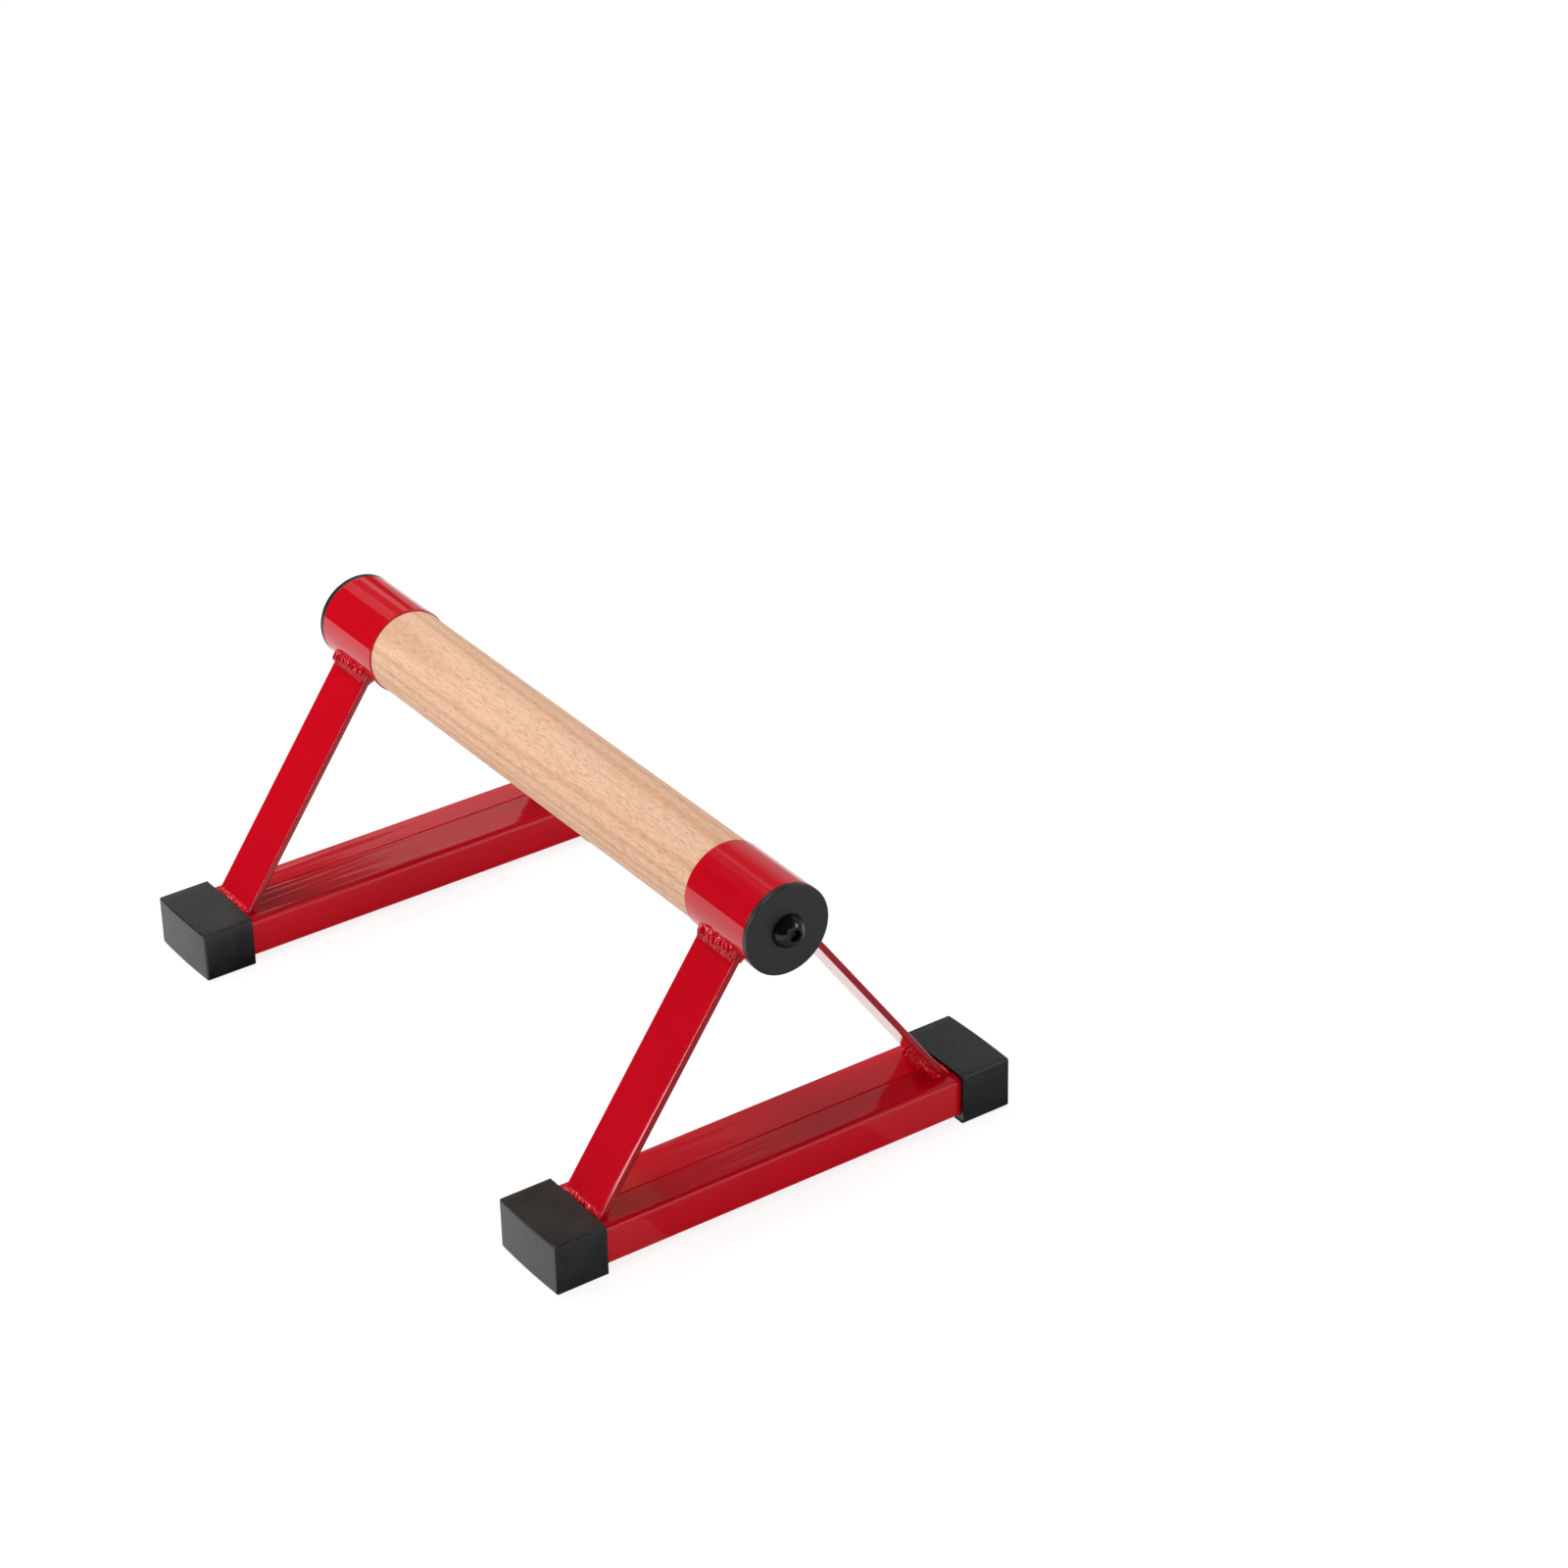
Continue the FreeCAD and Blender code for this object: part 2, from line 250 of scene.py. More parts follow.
@dataclass(frozen=True)
class Figure:
    """One kind of mark in wood: its colour, its size, and where in its noise it starts and is strongest."""

    colour: str
    long_mm: float
    wide_mm: float
    detail: float
    start: float = 0.0
    full: float = 1.0
    strength: float = 1.0


@dataclass(frozen=True)
class SandedBeech:
    """Steamed beech, turned and sanded, with a thin matt lacquer.

    Its roughness runs from the plain wood to the flecks.
    """

    slot: str = "beech_wood"
    colour: str = "F2C4A2"
    drifts: Figure = Figure("F8D0B1", long_mm=136.0, wide_mm=34.0, detail=3.0)
    fibres: Figure = Figure("E0AD88", 38.0, 0.9, detail=3.0, start=0.42, full=0.7, strength=0.55)
    # The real flecks are about 2 mm long and 0.3 mm wide, drawn larger so that they show
    flecks: Figure = Figure("BE8254", 4.6, 0.5, detail=2.0, start=0.48, full=0.7, strength=0.66)
    fleck_depth_mm: float = 0.02
    ior: float = 1.48
    roughness: Pair = (0.47, 0.65)
    ring_line: str = "DFAA84"
    ring_mm: float = 3.4
    ring_wander: float = 2.6
    ring_wander_scale: float = 0.35
    ring_start: float = 0.55
    ring_strength: float = 0.72
    # Lengths along the grip count this much in the rings, which makes their arches long
    ring_along: float = 0.12
    pith_mm: Pair = (23.0, 96.0)
    pith_tilt_deg: Pair = (2.2, 3.1)

    @functools.cache
    def material(self) -> bpy.types.Material:
        """Make the beech.

        The eye sees a pinkish tan with short darker flecks along the grain, faint growth rings that
        open into long arches where the cut runs across them, and slow drifts from pink to straw.

        Returns:
            The material.
        """
        material, tree = new_tree("sanded_beech_matt_lacquer")
        place = add_node(tree, "ShaderNodeTexCoord").outputs["Object"]
        _, _, base = self._marked(tree, place, self.drifts, linear(self.colour))
        tilt = [math.radians(angle) for angle in self.pith_tilt_deg]
        trunk = add_node(tree, "ShaderNodeMapping", {
            "Vector": place, "Location": (0.0, -self.pith_mm[0] * MM, -self.pith_mm[1] * MM),
            "Rotation": (0.0, *tilt), "Scale": (self.ring_along, 1.0, 1.0)})
        # A ring of the wave pattern is pi / 10 of its own unit
        rings = add_node(tree, "ShaderNodeTexWave", {
            "Vector": trunk.outputs["Vector"], "Scale": math.pi / 10 * per_metre(self.ring_mm),
            "Distortion": self.ring_wander, "Detail": 2.0, "Detail Scale": self.ring_wander_scale},
            wave_type="RINGS", rings_direction="X")
        ring_edge = add_node(tree, "ShaderNodeMapRange", {
            "Value": rings.outputs["Fac"], "From Min": self.ring_start, "To Max": self.ring_strength})
        ringed = add_node(tree, "ShaderNodeMix", {
            0: ring_edge.outputs["Result"], 6: base, 7: linear(self.ring_line)}, data_type="RGBA")
        _, _, fibrous = self._marked(tree, place, self.fibres, ringed.outputs[2])
        pattern, stroke, colour = self._marked(tree, place, self.flecks, fibrous)
        rough = add_node(tree, "ShaderNodeMapRange", {
            "Value": pattern, "To Min": self.roughness[0], "To Max": self.roughness[1]})
        grain = add_node(tree, "ShaderNodeBump", {
            "Height": stroke, "Strength": 1.0, "Distance": self.fleck_depth_mm * MM}, invert=True)
        wood = add_node(tree, "ShaderNodeBsdfPrincipled", {
            "Base Color": colour, "Roughness": rough.outputs["Result"], "IOR": self.ior,
            "Normal": grain.outputs["Normal"]})
        add_node(tree, "ShaderNodeOutputMaterial", {"Surface": wood.outputs["BSDF"]})
        return material

    def _marked(
        self, tree: bpy.types.NodeTree, place: Socket, figure: Figure, under: Any,
    ) -> tuple[Socket, Socket, Socket]:
        """Draw one kind of mark along the grain, over the colour that is there.

        Args:
            tree: The wood's node tree.
            place: The socket that gives the point.
            figure: The marks.
            under: The colour beneath them, or the socket that gives it.

        Returns:
            The sockets of the marks' noise, of their strength and of the marked colour.
        """
        across = per_metre(figure.wide_mm)
        drawn = add_node(tree, "ShaderNodeMapping", {
            "Vector": place, "Scale": (per_metre(figure.long_mm), across, across)})
        pattern = add_node(tree, "ShaderNodeTexNoise", {
            "Vector": drawn.outputs["Vector"], "Scale": 1.0, "Detail": figure.detail, "Roughness": 0.6})
        stroke = add_node(tree, "ShaderNodeMapRange", {
            "Value": pattern.outputs["Fac"], "From Min": figure.start, "From Max": figure.full,
            "To Max": figure.strength})
        colour = add_node(tree, "ShaderNodeMix", {
            0: stroke.outputs["Result"], 6: under, 7: linear(figure.colour)}, data_type="RGBA")
        return pattern.outputs["Fac"], stroke.outputs["Result"], colour.outputs[2]


@dataclass(frozen=True)
class MouldedBlack:
    """A black moulding: its name, its own and its dusty tone, its roughness and its mould texture.

    Its roughness runs from its rubbed to its dull patches, and dust is where in its noise the dusty tone
    starts and is full.
    """

    name: str
    slot: str
    colour: str
    dusty: str
    roughness: Pair
    grain_mm: float
    grain_height_mm: float
    ior: float = 1.5
    cloud_mm: float = 14.0
    dust: Pair = (0.12, 0.42)

    @functools.cache
    def material(self) -> bpy.types.Material:
        """Make the moulding's material.

        The eye sees a charcoal skin with a fine, slightly sparkling mould texture and faint cloudy
        patches where handling has left it duller.

        Returns:
            The material.
        """
        material, tree = new_tree(self.name)
        place = add_node(tree, "ShaderNodeTexCoord").outputs["Object"]
        cloud = add_node(tree, "ShaderNodeTexNoise", {
            "Vector": place, "Scale": per_metre(self.cloud_mm), "Detail": 4.0, "Roughness": 0.6})
        grit = add_node(tree, "ShaderNodeTexNoise", {
            "Vector": place, "Scale": per_metre(self.grain_mm), "Detail": 2.0, "Roughness": 0.7})
        both = add_node(tree, "ShaderNodeMath", {
            0: cloud.outputs["Fac"], 1: grit.outputs["Fac"]}, operation="MULTIPLY")
        tone = add_node(tree, "ShaderNodeMapRange", {
            "Value": both.outputs["Value"], "From Min": self.dust[0], "From Max": self.dust[1]})
        colour = add_node(tree, "ShaderNodeMix", {
            0: tone.outputs["Result"], 6: linear(self.colour), 7: linear(self.dusty)}, data_type="RGBA")
        rough = add_node(tree, "ShaderNodeMapRange", {
            "Value": cloud.outputs["Fac"], "To Min": self.roughness[0], "To Max": self.roughness[1]})
        bump = add_node(tree, "ShaderNodeBump", {
            "Height": grit.outputs["Fac"], "Strength": 1.0, "Distance": self.grain_height_mm * MM})
        skin = add_node(tree, "ShaderNodeBsdfPrincipled", {
            "Base Color": colour.outputs[2], "Roughness": rough.outputs["Result"], "IOR": self.ior,
            "Normal": bump.outputs["Normal"]})
        add_node(tree, "ShaderNodeOutputMaterial", {"Surface": skin.outputs["BSDF"]})
        return material


@dataclass(frozen=True)
class CoatedSteel:
    """A coated steel turning: its name, its two tones and how bright it is.

    Its roughness runs from its bright to its stained spots.
    """

    name: str
    slot: str
    colour: str
    stain: str
    roughness: Pair
    metallic: float = 1.0
    ior: float = 1.5
    cloud_mm: float = 2.5
    turning_mm: float = 0.35
    turning_long_mm: float = 20.0
    turning_height_mm: float = 0.0015

    @functools.cache
    def material(self) -> bpy.types.Material:
        """Make the coating.

        The eye sees a metal whose gloss breaks up in small clouds, with fine turning marks across it.

        Returns:
            The material.
        """
        material, tree = new_tree(self.name)
        place = add_node(tree, "ShaderNodeTexCoord").outputs["Object"]
        cloud = add_node(tree, "ShaderNodeTexNoise", {
            "Vector": place, "Scale": per_metre(self.cloud_mm), "Detail": 4.0, "Roughness": 0.65})
        colour = add_node(tree, "ShaderNodeMix", {
            0: cloud.outputs["Fac"], 6: linear(self.colour), 7: linear(self.stain)}, data_type="RGBA")
        rough = add_node(tree, "ShaderNodeMapRange", {
            "Value": cloud.outputs["Fac"], "To Min": self.roughness[0], "To Max": self.roughness[1]})
        around = per_metre(self.turning_long_mm)
        across = add_node(tree, "ShaderNodeMapping", {
            "Vector": place, "Scale": (per_metre(self.turning_mm), around, around)})
        marks = add_node(tree, "ShaderNodeTexNoise", {
            "Vector": across.outputs["Vector"], "Scale": 1.0, "Detail": 1.0})
        bump = add_node(tree, "ShaderNodeBump", {
            "Height": marks.outputs["Fac"], "Strength": 1.0, "Distance": self.turning_height_mm * MM})
        metal = add_node(tree, "ShaderNodeBsdfPrincipled", {
            "Base Color": colour.outputs[2], "Metallic": self.metallic, "IOR": self.ior,
            "Roughness": rough.outputs["Result"], "Normal": bump.outputs["Normal"]})
        add_node(tree, "ShaderNodeOutputMaterial", {"Surface": metal.outputs["BSDF"]})
        return material


BEECH = SandedBeech()
# A dull, faintly mottled skin. The real mould texture is finer, and is drawn this coarse so that it shows
RUBBER = MouldedBlack(
    name="moulded_black_rubber", slot="black_rubber", colour="060606", dusty="222222",
    roughness=(0.29, 0.43), grain_mm=1.5, grain_height_mm=0.2)
# An even, slightly waxy black from a smoother mould
POLYPROPYLENE = MouldedBlack(
    name="moulded_black_polypropylene", slot="black_plastic", colour="101010", dusty="1B1B1B",
    roughness=(0.33, 0.47), grain_mm=0.7, grain_height_mm=0.02)
# The oxide is a glassy black skin, so it shines like a dark glaze and not like bare steel
BLACK_OXIDE = CoatedSteel(
    name="oiled_black_oxide_on_steel", slot="black_steel", colour="080808", stain="101010",
    roughness=(0.11, 0.29), metallic=0.0, ior=1.45)
# Plating gives a pale, bluish shine that clouds here and there
BRIGHT_ZINC = CoatedSteel(
    name="bright_zinc_plated_steel", slot="zinc_steel", colour="C4C7C9", stain="A9AEB0",
    roughness=(0.24, 0.42))


@dataclass
class Shell:
    """A closed skin over rings of points, capped at its ends or joined into a loop."""

    rings: Sequence[Ring]
    joined: bool = False


def shift(point: Pair, direction: Pair, distance: float) -> Pair:
    """The point a distance from another along a direction."""
    return point[0] + direction[0] * distance, point[1] + direction[1] * distance


def eased(points: Sequence[Pair], radii: Sequence[float], closed: bool, steps: int = 6) -> list[Pair]:
    """Round the corners of an outline.

    Args:
        points: The corners, in order.
        radii: The rounding of each corner, where 0 keeps it sharp.
        closed: Whether the last corner joins the first.
        steps: How many chords each rounding has.

    Returns:
        The outline's points.
    """
    count = len(points)
    outline: list[Pair] = []
    for index, (point, radius) in enumerate(zip(points, radii)):
        at_end = not closed and index in (0, count - 1)
        if radius == 0 or at_end:
            outline.append(point)
            continue
        corner = Vector(point)
        back = (Vector(points[index - 1]) - corner).normalized()
        ahead = (Vector(points[(index + 1) % count]) - corner).normalized()
        half = back.angle(ahead) / 2
        centre = corner + (back + ahead).normalized() * (radius / math.sin(half))
        start = corner + back * (radius / math.tan(half)) - centre
        turn = start.angle_signed(corner + ahead * (radius / math.tan(half)) - centre)
        for step in range(steps + 1):
            spoke = Matrix.Rotation(-turn * step / steps, 2) @ start
            outline.append((centre.x + spoke.x, centre.y + spoke.y))
    return outline


def box_outline(width: float, height: float, radius: float, runs: tuple[int, int]) -> list[Pair]:
    """A centred rectangle with rounded corners, with the same number of points at every size.

    Args:
        width: Its width.
        height: Its height.
        radius: The rounding of its corners.
        runs: How many pieces each straight side along the width, and along the height, is split into.

    Returns:
        The outline's points.
    """
    half, rise = width / 2, height / 2
    corners = [(-half, -rise), (half, -rise), (half, rise), (-half, rise)]
    outline = eased(corners, [radius] * 4, closed=True)
    per_corner = len(outline) // 4
    points: list[Pair] = []
    for index, start in enumerate(outline):
        after = outline[(index + 1) % len(outline)]
        corner, place = divmod(index, per_corner)
        pieces = runs[corner % 2] if place == per_corner - 1 else 1
        for piece in range(pieces):
            points.append(shift(start, (after[0] - start[0], after[1] - start[1]), piece / pieces))
    return points


def turned(profile: Sequence[Pair], axis_height: float, joined: bool = False, segments: int = 160) -> Shell:
    """A skin turned about the grip's axis.

    Args:
        profile: The (x, radius) points, in order.
        axis_height: The axis's height above the floor.
        joined: Whether the profile is a closed loop.
        segments: How many chords a circle has.

    Returns:
        The skin.
    """
    angles = [math.tau * s / segments for s in range(segments)]
    spokes = [(math.cos(angle), math.sin(angle)) for angle in angles]
    rings = [[Vector((x, radius * c, axis_height + radius * s)) for c, s in spokes] for x, radius in profile]
    return Shell(rings, joined)


def add_piece(
    name: str, shells: Sequence[Shell], finish: Finish, body: str, node: str, sharp_deg: float = 38.0,
    coat: Optional[Callable[[Vector], float]] = None,
) -> None:
    """Make a piece of the bar in place of its solid.

    Args:
        name: The piece's name.
        shells: The skins that it is made of.
        finish: Its surface finish.
        body: The body that it rides on.
        node: The solid that it stands for.
        sharp_deg: The angle past which an edge is drawn sharp.
        coat: How strongly shade is painted into the colour at a point, from 0 to 1.
    """
    work = bmesh.new()
    for shell in shells:
        rows = [[work.verts.new(point * MM) for point in ring] for ring in shell.rings]
        pairs = list(zip(rows, rows[1:]))
        if shell.joined:
            pairs.append((rows[-1], rows[0]))
        else:
            work.faces.new(rows[0])
            work.faces.new(rows[-1])
        for near, far in pairs:
            for index, vertex in enumerate(near):
                work.faces.new((near[index - 1], vertex, far[index], far[index - 1]))
    bmesh.ops.recalc_face_normals(work, faces=work.faces)
    mesh = bpy.data.meshes.new(name)
    work.to_mesh(mesh)
    work.free()
    mesh.shade_smooth()
    mesh.set_sharp_from_angle(angle=math.radians(sharp_deg))
    mesh.materials.append(finish.material())
    if coat:
        layer = mesh.attributes.new(PAINTED_SHADE, "FLOAT", "POINT")
        layer.data.foreach_set("value", [coat(vertex.co / MM) for vertex in mesh.vertices])
    piece = bpy.data.objects.new(name, mesh)
    bpy.context.scene.collection.objects.link(piece)
    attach(piece, body)
    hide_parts(node)
    LOG.info("%s: %d faces, rides on %s", name, len(mesh.polygons), body)


@dataclass
class Grip:
    """The beech grip, with a shoulder and a tenon at each end."""

    length: float = 264.5
    diameter: float = 41.0
    axis_height: float = AXIS_HEIGHT
    shoulder_round: float = 0.5
    tenon_diameter: float = 37.0
    tenon_length: float = 42.5
    tenon_round: float = 0.8
    seat_diameter: float = 12.1
    seat_depth: float = 18.0
    # The floor of an insert's seat closes on a circle of this radius
    pole: float = 0.01

    def build(self) -> None:
        """Turn the grip."""
        half = self.length / 2
        end = half + self.tenon_length
        corners = [
            (end - self.seat_depth, self.pole, 0.0),
            (end - self.seat_depth, self.seat_diameter / 2, 0.0),
            (end, self.seat_diameter / 2, 0.0),
            (end, self.tenon_diameter / 2, self.tenon_round),
            (half, self.tenon_diameter / 2, 0.0),
            (half, self.diameter / 2, self.shoulder_round),
            (half - MARGIN, self.diameter / 2, 0.0),
        ]
        corners += [(-x, radius, ease) for x, radius, ease in reversed(corners)]
        points, radii = [(x, radius) for x, radius, _ in corners], [ease for _, _, ease in corners]
        profile = eased(points, radii, closed=False)
        add_piece("beech_grip", [turned(profile, self.axis_height)], BEECH, "frame", "grip_dowel")


@dataclass
class Leg:
    """A flat-bar leg's sizes and its line, in a frame's (outward, height) plane."""

    width: float = 28.5
    thickness: float = 3.0
    edge_round: float = 0.7
    offset: float = 8.8
    foot: float = 93.1
    foot_height: float = 22.5
    axis_height: float = AXIS_HEIGHT
    socket_radius: float = SOCKET_DIAMETER / 2
    rows: int = 24
    runs: tuple[int, int] = (9, 1)

    def __post_init__(self) -> None:
        """Work out the leg's slope."""
        rise = self.axis_height - self.foot_height
        slope = math.atan2(rise, self.foot) + math.asin(self.offset / math.hypot(self.foot, rise))
        self.up: Pair = (-math.cos(slope), math.sin(slope))
        self.outward: Pair = (math.sin(slope), math.cos(slope))
        self.foot_inner = self.foot - self.thickness / math.sin(slope)

    def cope(self, depth: float) -> float:
        """Find where a line along the leg meets the socket.

        Args:
            depth: How far the line lies below the outer face.

        Returns:
            How far up the leg the socket's skin is.
        """
        to_axis = (-self.foot, self.axis_height - self.foot_height)
        reach = to_axis[0] * self.up[0] + to_axis[1] * self.up[1]
        return reach - math.sqrt(self.socket_radius ** 2 - (self.offset - depth) ** 2)

    def shell(self, end: End, side: Side, frame_x: float) -> Shell:
        """The leg's skin, cut to the tube's top and coped to the socket.

        Args:
            end: The end of the grip that it is at.
            side: The side of the frame that it is on.
            frame_x: How far the frame stands from the middle of the grip.

        Returns:
            The skin.
        """
        outline = box_outline(self.width, self.thickness, self.edge_round, self.runs)
        rings = []
        for row in range(self.rows + 1):
            ring = []
            for across, through in outline:
                depth = self.thickness / 2 - through
                low = depth * self.outward[1] / self.up[1]
                reach = low + (self.cope(depth) - low) * row / self.rows
                point = shift(shift((self.foot, self.foot_height), self.up, reach), self.outward, -depth)
                ring.append(Vector((end.value * frame_x + across, side.value * point[0], point[1])))
            rings.append(ring)
        return Shell(rings)


@dataclass
class Bead:
    """A weld bead across a leg, laid between a toe on the leg and a toe on the other piece.

    The toes are given for the middle of the bead, which shrinks towards its corner at its ends.
    """

    corner: Pair
    leg_toe: Pair
    far_toe: Pair
    length: float = 27.3
    crown: float = 0.2
    ripple_mm: float = 2.7
    ripple: float = 0.08
    ripple_bow: float = 0.45
    lump_mm: float = 2.1
    lump: float = 0.18
    lumps_across: float = 2.2
    wander_mm: float = 3.1
    wander: float = 0.12
    taper_mm: float = 2.6
    taper: float = 0.55
    row_mm: float = 0.3
    columns: int = 11
    buried: float = 0.06
    # The levels of the noise at which the toes and the lumps are read
    leg_level: float = 0.0
    far_level: float = 5.0
    lump_level: float = 7.0

    def shell(self, end: End, side: Side, frame_x: float, seed: float) -> Shell:
        """The bead's skin: overlapping ripples, lumps, wandering toes and thinner ends.

        Args:
            end: The end of the grip that it is at.
            side: The side of the frame that it is on.
            frame_x: How far the frame stands from the middle of the grip.
            seed: Where in the noise this bead's lumps are read.

        Returns:
            The skin.
        """
        rows = round(self.length / self.row_mm)
        rings = []
        for row in range(rows + 1):
            x = self.length * (row / rows - 0.5)
            to_end = self.length / 2 - abs(x)
            near_end = max(0.0, 1 - to_end / self.taper_mm)
            size = 1 - self.taper * near_end ** 2
            strayed = x / self.wander_mm
            leg_size = size * (1 + self.wander * noise.noise(Vector((strayed, seed, self.leg_level))))
            far_size = size * (1 + self.wander * noise.noise(Vector((strayed, seed, self.far_level))))
            leg_toe = self._drawn_in(self.leg_toe, leg_size)
            far_toe = self._drawn_in(self.far_toe, far_size)
            chord = (far_toe[0] - leg_toe[0], far_toe[1] - leg_toe[1])
            out = self._away(chord, leg_toe, far_toe)
            ring = []
            for column in range(self.columns + 1):
                t = (column / self.columns) * (1 + 2 * self.buried) - self.buried
                bow = self.ripple_bow * (2 * t - 1) ** 2
                ripple = self.ripple * math.sin(math.tau * (x / self.ripple_mm + bow + seed))
                spot = Vector((x / self.lump_mm, self.lumps_across * t, self.lump_level + seed))
                lump = self.lump * noise.noise(spot)
                height = 4 * t * (1 - t) * (self.crown + ripple + lump)
                point = shift(shift(leg_toe, chord, t), out, height)
                ring.append(Vector((end.value * frame_x + x, side.value * point[0], point[1])))
            ring.append(Vector((end.value * frame_x + x, side.value * self.corner[0], self.corner[1])))
            rings.append(ring)
        return Shell(rings)

    def _drawn_in(self, toe: Pair, size: float) -> Pair:
        """A toe drawn towards the corner, or past its place, by a factor."""
        return shift(self.corner, (toe[0] - self.corner[0], toe[1] - self.corner[1]), size)

    def _away(self, chord: Pair, leg_toe: Pair, far_toe: Pair) -> Pair:
        """Turn the chord a quarter, so that it points away from the corner.

        Args:
            chord: The way from toe to toe.
            leg_toe: The toe on the leg.
            far_toe: The toe on the other piece.

        Returns:
            The turned chord.
        """
        middle = (leg_toe[0] + far_toe[0] - 2 * self.corner[0], leg_toe[1] + far_toe[1] - 2 * self.corner[1])
        turn = math.copysign(1.0, chord[0] * middle[1] - chord[1] * middle[0])
        return -chord[1] * turn, chord[0] * turn


@dataclass
class EndFrame:
    """One welded end frame: a socket, two legs, a base tube and the beads that join them."""

    end: End
    leg: Leg = field(default_factory=Leg)
    # Painted shade: the legs' narrow sides are darkened towards a deeper thick tone
    leg_paint: GlossEnamel = GlossEnamel(Steel.FLAT_BAR, thick="A00416")
    frame_x: float = FRAME_X
    axis_height: float = AXIS_HEIGHT
    socket_diameter: float = SOCKET_DIAMETER
    socket_bore: float = 37.2
    socket_length: float = 43.5
    socket_lip_round: float = 0.15
    socket_bore_round: float = 0.2
    tube_length: float = 236.0
    tube_width: float = 40.0
    tube_height: float = 20.0
    tube_wall: float = 1.5
    tube_round: float = 2.5
    tube_bottom: float = 2.5
    tube_runs: tuple[int, int] = (140, 6)
    tube_rows: int = 12
    seam_offset: float = 3.0
    seam_depth: float = 0.45
    seam_width: float = 0.75
    # Painted shade on the tube's top: a slope across it and a step past the seam, both darker towards +X
    coat_slope: float = 0.3
    coat_step: float = 0.45
    coat_reach: float = 1.0
    foot_outer_rise: float = 3.2
    foot_outer_spread: float = 1.3
    foot_inner_weld: float = 3.4
    socket_outer_weld: float = 4.6
    socket_inner_weld: float = 3.4
    # How far apart in the noise the place in a joint, the end, the side and the name's length set a bead
    bead_apart: float = 11.3
    end_apart: float = 3.7
    side_apart: float = 1.9
    name_apart: float = 0.37

    def build(self) -> None:
        """Build every piece of the frame."""
        self._build_socket()
        self._build_tube()
        for side in Side:
            place = f"{self.end.label}_{side.label}"
            add_piece(f"{place}_bar_leg", [self.leg.shell(self.end, side, self.frame_x)], self.leg_paint,
                      "frame", f"{place}_leg", coat=self._leg_coat)
            self._build_beads(side, f"{place}_foot_bead", f"{place}_foot_weld", self._foot_beads())
            self._build_beads(side, f"{place}_socket_bead", f"{place}_socket_weld", self._socket_beads())

    def _build_socket(self) -> None:
        """Turn the socket, with its lips rounded by filing and paint."""
        start = self.frame_x - self.socket_length / 2
        stop = self.frame_x + self.socket_length / 2
        outer, bore = self.socket_diameter / 2, self.socket_bore / 2
        lip, inner_lip = self.socket_lip_round, self.socket_bore_round
        corners = [(start, bore), (start, outer), (start + MARGIN, outer), (stop - MARGIN, outer),
                   (stop, outer), (stop, bore)]
        profile = eased(corners, [inner_lip, lip, 0.0, 0.0, lip, inner_lip], closed=True)
        profile = [(self.end.value * x, radius) for x, radius in profile]
        add_piece(f"{self.end.label}_socket_sleeve", [turned(profile, self.axis_height, joined=True)],
                  GlossEnamel(Steel.ROUND_TUBE), "frame", f"{self.end.label}_socket")

    def _build_tube(self) -> None:
        """Draw the base tube, with the line of its lengthwise seam along the top."""
        wall = self.tube_wall
        outside = box_outline(self.tube_width, self.tube_height, self.tube_round, self.tube_runs)
        bore = box_outline(
            self.tube_width - 2 * wall, self.tube_height - 2 * wall, self.tube_round - wall, self.tube_runs)
        half = self.tube_length / 2
        lengths = [half * (2 * row / self.tube_rows - 1) for row in range(self.tube_rows + 1)]
        rings = [[self._tube_point(x, y, z - self._seam_depth(x, z)) for x, z in outside] for y in lengths]
        rings += [[self._tube_point(x, y, z) for x, z in bore] for y in reversed(lengths)]
        add_piece(f"{self.end.label}_seamed_tube", [Shell(rings, joined=True)],
                  GlossEnamel(Steel.BOX_TUBE), "frame", f"{self.end.label}_base_tube", coat=self._tube_coat)

    def _tube_point(self, x: float, y: float, z: float) -> Vector:
        """A point of the tube, given from its middle, in the bar's frame."""
        return Vector((self.end.value * self.frame_x + x, y, self.tube_bottom + self.tube_height / 2 + z))

    def _seam_depth(self, x: float, z: float) -> float:
        """Give the depth of the seam, a slope towards +X that ends at a wall.

        Args:
            x: A point of the tube's outline, from its middle.
            z: Its height from the middle.

        Returns:
            How deep the seam is there.
        """
        start = self.end.value * self.seam_offset - self.seam_width
        share = (x - start) / self.seam_width
        if z < self.tube_height / 2 - TOUCH or not 0 < share < 1 + TOUCH:
            return 0.0
        return self.seam_depth * share

    def _tube_coat(self, point: Vector) -> float:
        """Paint shade on the tube's top: darker towards +X, with a step at the seam.

        Args:
            point: A point of the tube.

        Returns:
            How strongly shade is painted there.
        """
        if point.z < self.tube_bottom + self.tube_height - self.coat_reach:
            return 0.0
        x = point.x - self.end.value * self.frame_x
        step = self.coat_step if x > self.end.value * self.seam_offset else 0.0
        return step + self.coat_slope * (x / self.tube_width + 0.5)

    def _leg_coat(self, point: Vector) -> float:
        """How strongly shade is painted on a leg's narrow sides, rising over the rounding of its edges."""
        to_side = self.leg.width / 2 - abs(point.x - self.end.value * self.frame_x)
        return max(0.0, 1 - to_side / self.leg.edge_round)

